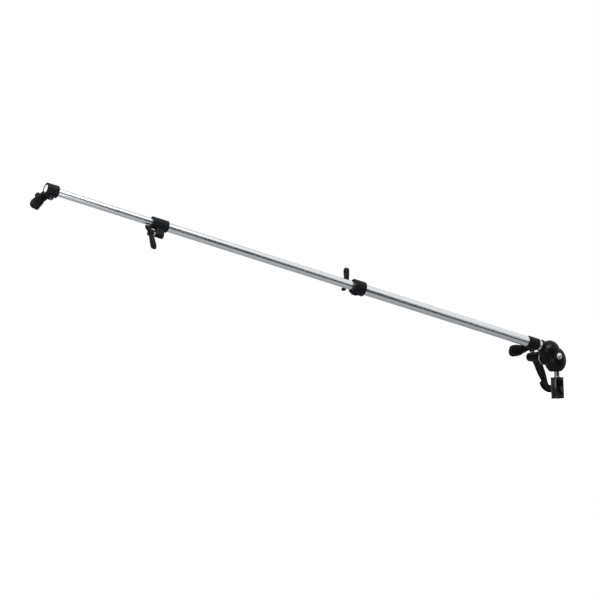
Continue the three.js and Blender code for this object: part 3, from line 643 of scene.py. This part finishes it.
def drum(place, low, high, radius):
    """The same for a plain cylinder between two heights."""
    return turned_gap(place, [(low, radius), (high, radius)])


def ball_gap(centre, radius):
    """The same for a ball."""

    def gap(points, normals):
        out = points - np.asarray(centre)
        r = np.linalg.norm(out, axis=1) + 1e-9
        return radius - r, np.sum(out * normals, axis=1) / r

    return gap


def trued(*gaps, details=()):
    """A relief that moves a skin out to the round shapes that its flat facets stand for, where it
    lies within half a millimetre of them and faces their way, and then adds the details."""

    def relief(points, normals):
        moved = np.zeros(len(points))
        for gap in gaps:
            out, facing = gap(points, normals)
            moved += np.clip(out, -1, 1) * band(out, -0.45, 0.65, 0.25) * band(facing, 0.9, 2, 0.1)
        for detail in details:
            moved += detail(points, normals)
        return moved

    return relief


def head_bead(points, normals):
    """A raised bead round the head's tube boss, 0.7 mm high and 3 mm wide."""
    x, y, z = in_place(points, placed(ARM_ORIGIN, ARM_AXIS, ARM_UP))
    return 0.7 * band(z, 37.2, 40, 1.6) * band(np.hypot(x, y), 11.8, 18, 1)


def lever_panels(points, normals):
    """A long dished panel on both faces of the lever's blade, and ribs under its foot."""
    x, y, z = in_place(points, placed(BOLT_ORIGIN, BOLT_AXIS, BOLT_ACROSS))
    facing = np.abs(normals @ BOLT_AXIS)
    down = np.clip(-y, 0, None)
    # The blade's middle line leans as it goes down, a little more in the first 39 mm than below
    middle = 1 + 0.27 * down + 4.2 * np.clip(down / 39, 0, 1)
    panel = -0.7 * band(facing, 0.7, 2, 0.3) * band(down, 18, 52, 4) * band(x - middle, -3.4, 3.4, 1.6)
    ribs = 0.35 * band(facing, -1, 0.6, 0.3) * band(down, 62, 80, 3) * np.cos(2 * np.pi * (x + down) / 4.2)
    return panel + ribs * band(x, 18, 50, 4) * (normals[:, 2] < 0)


def thumb_ribs(place, reach):
    """Three low ribs across both faces of a wing lever's lobe, 2.7 mm apart near its tip."""

    def relief(points, normals):
        x, y, z = in_place(points, place)
        facing = np.abs(normals @ place[:3, 2])
        where = band(facing, 0.75, 2, 0.3) * band(x, reach - 12.8, reach - 4.6, 1) * band(y, -4.5, 4.5, 1.5)
        return 0.4 * where * np.cos(2 * np.pi * (x - reach) / 2.7)

    return relief


def knob_ribs(place):
    """Fine upright ribs round the ends of a knob's wings, 1.8 mm apart."""

    def relief(points, normals):
        x, y, z = in_place(points, place)
        sideways = 1 - np.abs(normals @ place[:3, 2])
        where = band(sideways, 0.5, 2, 0.4) * band(np.hypot(x, y), 11, 20, 1)
        return 0.25 * where * np.cos(2 * np.pi * y / 1.8)

    return relief


def pad_ribs(place):
    """Ribs across a rubber pad's face, 3 mm apart and 0.3 mm high."""

    def relief(points, normals):
        x, y, z = in_place(points, place)
        facing = np.abs(normals @ place[:3, 2])
        return 0.18 * band(facing, 0.7, 2, 0.3) * (np.cos(2 * np.pi * x / 3) - 1)

    return relief


def key_hole(above, within):
    """A ripple that turns the rings nearer the axis than within, above this height, into a hexagon."""

    def ripple(r, z, v):
        flats = np.cos(np.pi / 6) / np.cos((v + np.pi / 6) % (np.pi / 3) - np.pi / 6)
        return np.where((z > above) & (r < within), r * flats, r)

    return ripple


def make_grub(node, place, first, last):
    """A socket grub screw with a cone point, a chamfered end and a hexagonal key hole."""
    hole = [(1.35, last), (1.3, last - 1.6), (0, last - 1.6)]
    profile = [(0, first), (1.3, first), (2.5, first + 1.1), (2.5, last - 0.4), (2.1, last), *hole]
    screw = lathed("fine_" + node, profile, place, radius=0.1, ripple=key_hole(last - 1.7, 1.5))
    stands_for(screw, node, bright_nickel())


# Operators, one for each piece or group of like pieces

class ARM_OT_tubes(bpy.types.Operator):
    """Three drawn tubes and the plug in the last one's end"""

    bl_idname = "arm.tubes"
    bl_label = "Make the tubes"

    def execute(self, context):
        wall = context.scene.arm_sizes.tube_wall / MM
        for name, (radius, start, end) in TUBES.items():
            node = f"{name}_tube"
            inner = radius - wall
            profile = [(inner, start), (radius, start), (radius, end), (inner, end)]
            piece = lathed("fine_" + node, profile, placed(ARM_ORIGIN, ARM_AXIS), radius=0.35)
            stands_for(piece, node, anodised_tube())
        # The plug's tail fills the tube with 0.25 mm to spare, and its head stands on the tube's end
        rim, _, end = TUBES["inner"]
        tail = rim - wall - 0.25
        inside, seat, face = end - 12.0, end + 0.3, end + 2.4
        profile = [
            (0, inside),
            (tail, inside),
            (tail, seat),
            (rim, seat),
            (rim, face - 0.5),
            (rim - 1.2, face),
            (rim - 2.4, face),
            (rim - 3.2, face - 0.7),
            (0, face - 0.7),
        ]
        plug = lathed("fine_arm_end_plug", profile, placed(ARM_ORIGIN, ARM_AXIS), radius=0.3)
        stands_for(plug, "arm_end_plug", acetal())
        return {"FINISHED"}


class ARM_OT_socket(bpy.types.Operator):
    """The socket and the ball stem fixed in its top"""

    bl_idname = "arm.socket"
    bl_label = "Make the socket and stem"

    def execute(self, context):
        # Turned sleeve: bore 16.2 mm wide and 39 mm deep, a broken edge and a fine groove at each end
        out, top, floor, bore, hole, edge = 13.9, 45.5, 39, 8.1, 4.2, 0.9
        low = out - 0.35
        grooves = [(out, 3.4), (low, 3.7), (low, 4.3), (out, 4.6)]
        grooves += [(out, 40.6), (low, 40.9), (low, 41.5), (out, 41.8)]
        profile = [(bore, 0), (out - edge, 0), (out, edge), *grooves, (out, top - edge)]
        profile += [(out - edge, top), (hole, top), (hole, floor), (bore, floor)]
        sleeve = lathed("fine_socket_sleeve", profile, placed((0, 0, 0), (0, 0, 1)), radius=0.25)
        stands_for(sleeve, "socket_sleeve", black_plating())
        # Stem: a tail in the sleeve, a shoulder on its top, a straight neck and the ball
        tail, shoulder, neck = 4, 6.6, 5.6
        angle = np.linspace(math.asin(neck / BALL_RADIUS), math.pi, 40)
        across, up = BALL_RADIUS * np.sin(angle), BALL_HEIGHT - BALL_RADIUS * np.cos(angle)
        ball = np.stack([across, up], axis=1)
        shank = [(0, 39.2), (tail, 39.2), (tail, 45.8), (shoulder, 45.8), (shoulder, 46.7), (neck, 48.4)]
        stem = lathed("fine_ball_stem", [*shank, *ball.tolist()], placed((0, 0, 0), (0, 0, 1)), radius=0.2)
        stands_for(stem, "ball_stem", grey_steel())
        make_grub("socket_grub_screw", placed((0, 0, 18), (0, 1, 0)), 10.2, 13.6)
        for node in ("upper_ball_seat", "lower_ball_seat"):
            refinish(node, acetal())
        return {"FINISHED"}


class ARM_OT_head(bpy.types.Operator):
    """The split head casting"""

    bl_idname = "arm.head"
    bl_label = "Make the head"

    def execute(self, context):
        # The lobe's radius, its half heights above and below the ball, and its shift towards the arm
        radius, crown, depth, shift = 23.5, 30, 27, 2.4

        def lobe(z):
            half = np.where(z > BALL_HEIGHT, crown, depth)
            return radius * np.sqrt(np.clip(1 - ((z - BALL_HEIGHT) / half) ** 2, 0, 1))

        # Radii of the dome, the tube boss, and the rear disc, middle and front boss along the bolt
        dome, boss, rear, waist, front = 22.3, 12.6, 17.8, 14, 8.8
        disc = [(-20.5, rear), (-16.5, rear), (-8.5, waist), (0, waist), (10.8, front), (18.8, front)]
        relief = trued(
            ball_gap((-16.2, 0, BALL_HEIGHT + 21.9), dome),
            turned_gap(placed((-shift, 0, 0), (0, 0, 1)), lobe),
            drum(placed(ARM_ORIGIN, ARM_AXIS), 0, 41, boss),
            turned_gap(placed(BOLT_ORIGIN, BOLT_AXIS), disc),
            details=[head_bead],
        )
        for node in ("head_front_shell", "head_rear_shell"):
            stands_for(moulded(node, relief, passes=14), node, powder_paint())
        make_grub("tube_grub_screw", placed(along_arm(27), round_arm(55)), 11.25, 14.6)
        for node in ("shell_dowel_1", "shell_dowel_2", "clamp_bolt"):
            refinish(node, bright_nickel())
        return {"FINISHED"}


class ARM_OT_cap(bpy.types.Operator):
    """The bolt's domed cap at the front and the thrust washer at the back"""

    bl_idname = "arm.cap"
    bl_label = "Make the cap and washer"

    def execute(self, context):
        place = placed(BOLT_ORIGIN, BOLT_AXIS, BOLT_ACROSS)
        base, top, edge, radius = 19.1, 24.7, 21.6, 7.1
        angle = np.linspace(0.05, 1.0, 9) * math.pi / 2
        dome = np.stack([radius * np.cos(angle), edge + (top - edge) * np.sin(angle)], axis=1)[:-2]
        profile = [(2.7, base), (radius, base), (radius, edge), *dome.tolist(), (1.9, top - 0.15)]
        profile += [(1.75, top - 1.6), (0, top - 1.6), (0, base + 3.2), (2.7, base + 3.2)]
        cap = lathed("fine_bolt_cap_nut", profile, place, radius=0.2, ripple=key_hole(base + 3.5, 2.2))
        stands_for(cap, "bolt_cap_nut", bright_nickel())
        face, back, hole, rim = -20.8, -23.0, 2.8, 17.8
        ring = [(hole, back), (rim, back), (rim, face), (hole, face)]
        stands_for(lathed("fine_thrust_washer", ring, place, radius=0.5), "thrust_washer", bright_nickel())
        return {"FINISHED"}


class ARM_OT_lever(bpy.types.Operator):
    """The head's clamp lever, with its threaded insert and end button"""

    bl_idname = "arm.lever"
    bl_label = "Make the clamp lever"

    def execute(self, context):
        place = placed(BOLT_ORIGIN, BOLT_AXIS, BOLT_ACROSS)
        hub = [(-62.3, 9.6), (-27.2, 12.3), (-23.3, 12.3)]
        relief = trued(turned_gap(place, hub), details=[lever_panels])
        stands_for(moulded("clamp_lever", relief, passes=12), "clamp_lever", powder_paint())
        face, depth, radius = -62.6, 5.2, 9.3
        angle = np.linspace(0, math.pi / 2, 16)
        crown = np.stack([radius * np.cos(angle), face - depth * np.sin(angle)], axis=1)
        button = lathed("fine_lever_button", [(0, face), *crown.tolist()], place, radius=0.15)
        stands_for(button, "lever_button", powder_paint())
        refinish("lever_insert", turned_brass())
        return {"FINISHED"}


class ARM_OT_locks(bpy.types.Operator):
    """Two cam collars with their shoes, shafts and wing levers"""

    bl_idname = "arm.locks"
    bl_label = "Make the cam locks"

    def execute(self, context):
        grain = context.scene.arm_sizes.fine_grain
        # Radii of the cam's boss and of the wing lever's hub, long end and short end, and its reach
        boss, hub, tip, heel, reach = 6.4, 7.4, 7.0, 5.5, 34.0
        for name, lock in LOCKS.items():
            cam = cam_place(name)
            tube = placed(along_arm(lock["start"]), ARM_AXIS)
            length = lock["length"]
            collar = trued(drum(tube, 0, length, lock["radius"]), drum(cam, 0, length, boss))
            node = f"{name}_cam_collar"
            stands_for(moulded(node, collar, 10, grain), node, moulded_nylon())
            wing = cam_place(name, lever=True)
            short, start = lock["short"], length - lock["wing"]
            back = turned_round(wing)
            lever = trued(
                drum(wing, start - 1, start + 9, hub),
                turned_gap(beside(wing, reach - tip), lambda z: tip + 0 * z),
                turned_gap(beside(back, short - heel), lambda z: heel + 0 * z),
                details=[thumb_ribs(wing, reach), thumb_ribs(back, short + 2)],
            )
            node = f"{name}_cam_lever"
            stands_for(moulded(node, lever, 8, grain), node, moulded_nylon())
            self.shaft(name, lock, wing, start)
            refinish(f"{name}_brake_shoe", acetal())
        for node in ("middle_glide", "inner_glide"):
            refinish(node, acetal())
        return {"FINISHED"}

    def shaft(self, name, lock, place, wing):
        """A turned shaft whose cam is a smaller cylinder, 2.5 mm in radius and 1.1 mm off its axis."""
        full, small, off, half = 3.6, 2.5, 1.1, 4.3
        first = lock["length"] - lock["boss"] - 18 + 3.3
        cam_from, cam_to = lock["shoe"] - half, lock["shoe"] + half
        last = wing + 3.8
        cam = np.linspace(cam_from + 0.05, cam_to - 0.05, 8)
        profile = [(0, first), (full, first), (full, cam_from), *[(small, z) for z in cam]]
        profile += [(full, cam_to), (full, last), (0, last)]

        def off_centre(r, z, v):
            side = -off * np.cos(v) + np.sqrt(small**2 - (off * np.sin(v)) ** 2)
            return np.where((r > small - 0.01) & (r < small + 0.01), side, r)

        shaft = lathed(f"fine_{name}_cam_shaft", profile, place, radius=0.3, ripple=off_centre)
        stands_for(shaft, f"{name}_cam_shaft", bright_nickel())


class ARM_OT_clips(bpy.types.Operator):
    """Two rim clips: collar, stud, paddle jaws, rubber pads and wing knob"""

    bl_idname = "arm.clips"
    bl_label = "Make the rim clips"

    def execute(self, context):
        grain = context.scene.arm_sizes.fine_grain
        # Radii of the round shapes, then how far the ends of the paddles and wings lie from the stud
        ring, boss, hub, front_end, back_end, knob, wing_end = 13, 7.5, 9.6, 11.5, 9.5, 8, 5.75
        front_reach, back_reach, wing_reach = 27, 17.5, 13.25
        for side, clip in CLIPS.items():
            stud = stud_place(side)
            tube = placed(along_arm(clip["start"]), ARM_AXIS)
            wing = stud if side == "right" else placed(stud[:3, 3], stud[:3, 2], round_arm(RIM_TURN))
            reliefs = {
                "clip_collar": trued(
                    drum(tube, 0, 2 * CLIP_MIDDLE, ring),
                    drum(stud, 0, 22, boss),
                ),
                "front_jaw": trued(
                    drum(stud, 22.3, 37.7, hub),
                    drum(beside(stud, front_reach), 30, 38, front_end),
                ),
                "back_jaw": trued(
                    drum(stud, 49.3, 56.3, hub),
                    drum(beside(stud, back_reach), 49, 56.5, back_end),
                ),
                "wing_knob": trued(
                    drum(stud, 56.6, 66.2, knob),
                    drum(beside(wing, wing_reach), 59, 65.4, wing_end),
                    drum(beside(turned_round(wing), wing_reach), 59, 65.4, wing_end),
                    details=[knob_ribs(wing)],
                ),
            }
            for part, relief in reliefs.items():
                stands_for(moulded(f"{side}_{part}", relief, 8, grain), f"{side}_{part}", moulded_nylon())
            for part in ("front_pad", "back_pad"):
                pad = moulded(f"{side}_{part}", pad_ribs(stud), 3, grain)
                stands_for(pad, f"{side}_{part}", grip_rubber())
            self.stud(side, stud)
            under_arm = placed(stud[:3, 3], -round_arm(RIM_TURN))
            make_grub(f"{side}_clip_grub_screw", under_arm, clip["tube"] + 0.45, 19.7)
            refinish(f"{side}_knob_insert", turned_brass())
        return {"FINISHED"}

    def stud(self, side, place):
        """A stud from the collar's boss to 2 mm past the knob, with a 1 mm thread where the knob runs."""
        crest, root = 3.0, 2.6
        turns = [(r, z) for k in range(17) for r, z in ((crest, 51.2 + k), (root, 51.7 + k))]
        profile = [(0, 13.2), (crest, 13.2), (crest, 50.5), (root, 50.8), *turns, (2.2, 68.2), (0, 68.2)]
        stud = lathed(f"fine_{side}_clip_stud", profile, place, radius=0.12)
        stands_for(stud, f"{side}_clip_stud", bright_nickel())


class ARM_OT_stage(bpy.types.Operator):
    """White floor, soft light and a camera fitted to the photograph"""

    bl_idname = "arm.stage"
    bl_label = "Set the stage"

    def execute(self, context):
        scene = context.scene
        self.floor(scene)
        self.cards(scene)
        self.world(scene)
        self.lights(scene)
        self.camera(scene)
        scene.view_settings.view_transform = "Standard"
        return {"FINISHED"}

    def flat(self, scene, name, corners, material):
        """A stage piece: one flat face through these corners, in metres."""
        mesh = bpy.data.meshes.new(name)
        mesh.from_pydata(corners, [], [tuple(range(len(corners)))])
        mesh.materials.append(material)
        piece = bpy.data.objects.new(name, mesh)
        scene.collection.objects.link(piece)
        return piece

    def floor(self, scene):
        """A matt white floor 40 m square at the socket's mouth. It takes the arm's shadow, and adds
        some light of its own that only the camera sees, so that its far end is as pale as the world."""
        made, tree, shader = finish("painted studio floor")
        shader.inputs["Base Color"].default_value = (*scene.arm_colours.floor, 1)
        shader.inputs["Roughness"].default_value = 0.95
        shader.inputs["Specular IOR Level"].default_value = 0
        shader.inputs["Emission Color"].default_value = (1, 1, 1, 1)
        ray = add(tree, "ShaderNodeLightPath")
        glow = add(tree, "ShaderNodeMapRange", [(ray.outputs["Is Camera Ray"], "Value")])
        glow.inputs["To Max"].default_value = 0.36
        tree.links.new(glow.outputs["Result"], shader.inputs["Emission Strength"])
        half, low = 20.0, -0.0005
        corners = [(-half, -half, low), (half, -half, low), (half, half, low), (-half, half, low)]
        self.flat(scene, "studio_floor", corners, made)

    def cards(self, scene):
        """Cards that only reflections see, as a photographer sets them. Black ones in front and to the
        right keep black parts black, one that lies in front of the arm draws the dark line along the
        tubes, and grey ones under and behind the arm shade the tubes' lower half and upper edge."""
        standing = [(-2.6, -1.6, 0.0), (0.9, -2.4, 0.0), (0.9, -2.4, 1.1), (-2.6, -1.6, 1.1)]
        side = [(0.9, -2.4, 0.0), (2.4, 0.5, 0.0), (2.4, 0.5, 0.22), (0.9, -2.4, 0.22)]
        line = [(0.25, 0.0, 0.0), (-1.06, -0.72, 0.0), (0.81, -5.07, 0.0)]
        under = [(0.25, 0, 0), (-1.06, -0.72, 0), (-2.6, -0.72, 0), (-2.6, 1.2, 0)]
        under += [(1, 1.2, 0), (1, -0.2, 0)]
        behind = [(-2.6, 1.2, 0.0), (1.0, 1.2, 0.0), (1.0, 1.2, 2.2), (-2.6, 1.2, 2.2)]
        for name, corners, shade in (
            ("front_card", standing, 0x0A0A0A),
            ("side_card", side, 0x0A0A0A),
            ("line_card", line, 0x2A2B2D),
            ("under_card", under, 0x9A9C9F),
            ("back_card", behind, 0xA6A8AA),
        ):
            made, tree, shader = finish(f"matt {name}")
            shader.inputs["Base Color"].default_value = (*linear(shade), 1)
            shader.inputs["Roughness"].default_value = 1
            shader.inputs["Specular IOR Level"].default_value = 0
            card = self.flat(scene, name, corners, made)
            card.visible_camera = False
            card.visible_diffuse = False
            card.visible_shadow = False
            card.visible_transmission = False

    def world(self, scene):
        """White to the camera, to gloss and through glass, and a soft fill for everything else."""
        world = bpy.data.worlds.new("studio")
        world.use_nodes = True
        tree = world.node_tree
        background = tree.nodes["Background"]
        ray = add(tree, "ShaderNodeLightPath")
        rays = [(ray.outputs["Is Camera Ray"], 0), (ray.outputs["Is Glossy Ray"], 1)]
        seen = add(tree, "ShaderNodeMath", rays, operation="ADD")
        rays = [(seen.outputs["Value"], 0), (ray.outputs["Is Transmission Ray"], 1)]
        shown = add(tree, "ShaderNodeMath", rays, operation="ADD", use_clamp=True)
        level = add(tree, "ShaderNodeMapRange", [(shown.outputs["Value"], "Value")])
        level.inputs["To Min"].default_value = 0.42
        level.inputs["To Max"].default_value = 1.0
        background.inputs["Color"].default_value = (1, 1, 1, 1)
        tree.links.new(level.outputs["Result"], background.inputs["Strength"])
        scene.world = world

    def lights(self, scene):
        """A broad even light from the upper left for level tones and a soft shadow, a long soft box
        over the arm's front for its highlights, and a strip at the left for the streak on the socket."""
        even = bpy.data.lights.new("even light", "SUN")
        even.energy = 1.3
        even.angle = math.radians(25)
        sun = bpy.data.objects.new("even light", even)
        sun.matrix_world = Matrix(placed((0, 0, 2), (-0.45, -0.55, 0.9), (1, 0, 0)).tolist())
        scene.collection.objects.link(sun)
        for name, place, target, width, height, power in (
            ("soft box", (-0.95, -0.85, 1.75), (-0.45, 0, 0.2), 2.4, 0.3, 38),
            ("strip", (-1.2, -0.71, 0.1), (0, 0, 0.03), 0.36, 0.5, 3.0),
        ):
            lamp = bpy.data.lights.new(name, "AREA")
            lamp.shape = "RECTANGLE"
            lamp.size = width
            lamp.size_y = height
            lamp.energy = power
            light = bpy.data.objects.new(name, lamp)
            towards = placed(place, np.subtract(place, target), (1, 0, 0))
            light.matrix_world = Matrix(towards.tolist())
            scene.collection.objects.link(light)

    def camera(self, scene):
        """The view fitted to the photograph: level, 27.3 degrees to the left of the arm's front, rolled
        by 2.28 degrees, from far away."""
        lens = bpy.data.cameras.new("photo_camera")
        distance = scene.arm_sizes.camera_distance
        lens.lens = lens.sensor_width * distance / (PHOTO_SIZE * PHOTO_MM_PER_PIXEL * MM)
        lens.clip_end = 100
        camera = bpy.data.objects.new("photo_camera", lens)
        sine, cosine = math.sin(CAMERA_AZIMUTH), math.cos(CAMERA_AZIMUTH)
        level = np.array([cosine, sine, 0.0])
        upright = np.array([0.0, 0.0, 1.0])
        back = np.array([sine, -cosine, 0.0])
        matrix = np.eye(4)
        matrix[:3, 0] = math.cos(CAMERA_ROLL) * level - math.sin(CAMERA_ROLL) * upright
        matrix[:3, 1] = math.sin(CAMERA_ROLL) * level + math.cos(CAMERA_ROLL) * upright
        matrix[:3, 2] = back
        matrix[:3, 3] = np.array(CAMERA_TARGET) + distance * back
        camera.matrix_world = Matrix(matrix.tolist())
        scene.collection.objects.link(camera)
        scene.camera = camera


class ARM_PT_panel(bpy.types.Panel):
    """Sizes, colours and the pieces to make"""

    bl_idname = "ARM_PT_panel"
    bl_label = "Reflector arm"
    bl_space_type = "VIEW_3D"
    bl_region_type = "UI"
    bl_category = "Reflector arm"

    def draw(self, context):
        for group in (context.scene.arm_sizes, context.scene.arm_colours):
            for key in group.__annotations__:
                self.layout.prop(group, key)
        for piece in PIECES:
            self.layout.operator(piece.bl_idname)


PIECES = (
    ARM_OT_stage,
    ARM_OT_tubes,
    ARM_OT_socket,
    ARM_OT_head,
    ARM_OT_cap,
    ARM_OT_lever,
    ARM_OT_locks,
    ARM_OT_clips,
)
CLASSES = (ArmSizes, ArmColours, *PIECES, ARM_PT_panel)


def register():
    for kind in CLASSES:
        bpy.utils.register_class(kind)
    bpy.types.Scene.arm_sizes = bpy.props.PointerProperty(type=ArmSizes)
    bpy.types.Scene.arm_colours = bpy.props.PointerProperty(type=ArmColours)


def unregister():
    del bpy.types.Scene.arm_colours
    del bpy.types.Scene.arm_sizes
    for kind in reversed(CLASSES):
        bpy.utils.unregister_class(kind)


def main():
    register()
    for piece in PIECES:
        group, name = piece.bl_idname.split(".")
        getattr(getattr(bpy.ops, group), name)()


if __name__ == "__main__":
    main()
